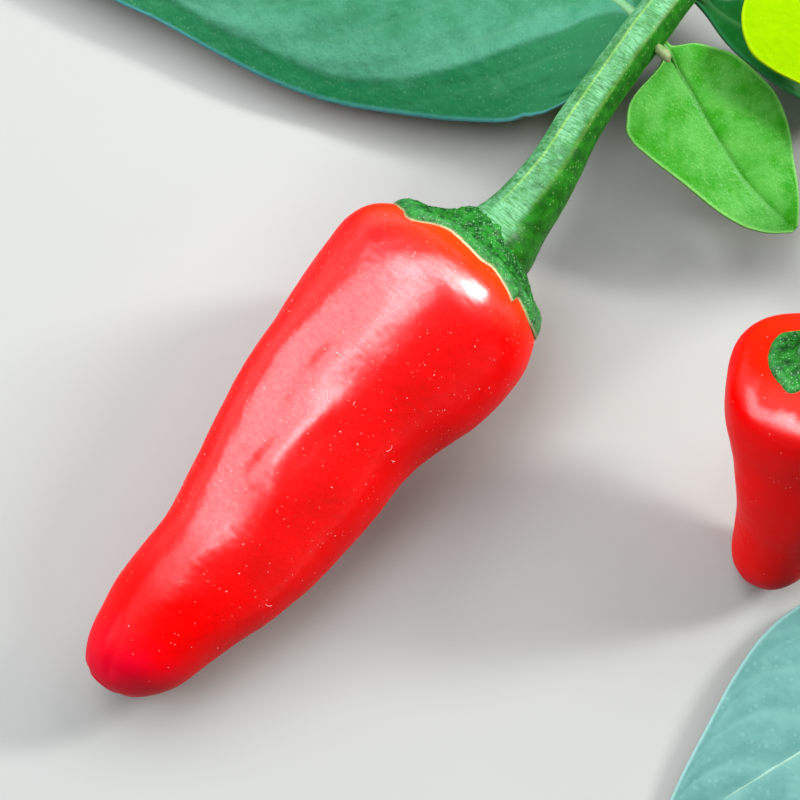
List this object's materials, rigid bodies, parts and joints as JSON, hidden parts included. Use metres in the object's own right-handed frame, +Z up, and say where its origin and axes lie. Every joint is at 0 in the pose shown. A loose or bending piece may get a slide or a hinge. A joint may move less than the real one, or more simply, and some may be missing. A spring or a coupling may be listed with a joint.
{
  "type": "cut sprig of a chilli pepper plant",
  "caption": "Cut sprig of a chilli pepper plant with ripe red fruits, green caps and stalks, a forked stem and oval leaves, lying on a level surface.",
  "frame": {"origin": "on the surface that the sprig lies on, under the middle of its bounding box", "axes": "+X across the sprig from the large leaf's tip towards the small fruit, +Y from the fruits towards the cut end of the stem, +Z up from the surface"},
  "size_m": [0.0911, 0.0953, 0.0233],
  "materials": {
    "fruit": "smooth waxy red skin with a soft shine",
    "calyx": "bumpy dark green cap with a thin pale rim",
    "stem": "ribbed green stalk with a pale bluish bloom and yellow-green ridges",
    "leaf_dark": "dark green quilted blade with a bluish sheen",
    "leaf_bright": "bright green grainy blade with a paler rim",
    "leaf_young": "young yellow-green blade",
    "leaf_pale": "pale bluish green blade"
  },
  "bodies": {
    "root": {"stem": "stem", "branch_left": "stem", "branch_right": "stem", "stalk_large": "stem", "stalk_small": "stem", "petiole_corner": "stem", "fruit_large": "fruit", "fruit_small": "fruit", "calyx_large": "calyx", "calyx_small": "calyx", "leaf_large": "leaf_dark", "leaf_back": "leaf_dark", "leaf_small": "leaf_bright", "leaf_yellow": "leaf_young", "leaf_corner": "leaf_pale"}
  },
  "joints": []
}
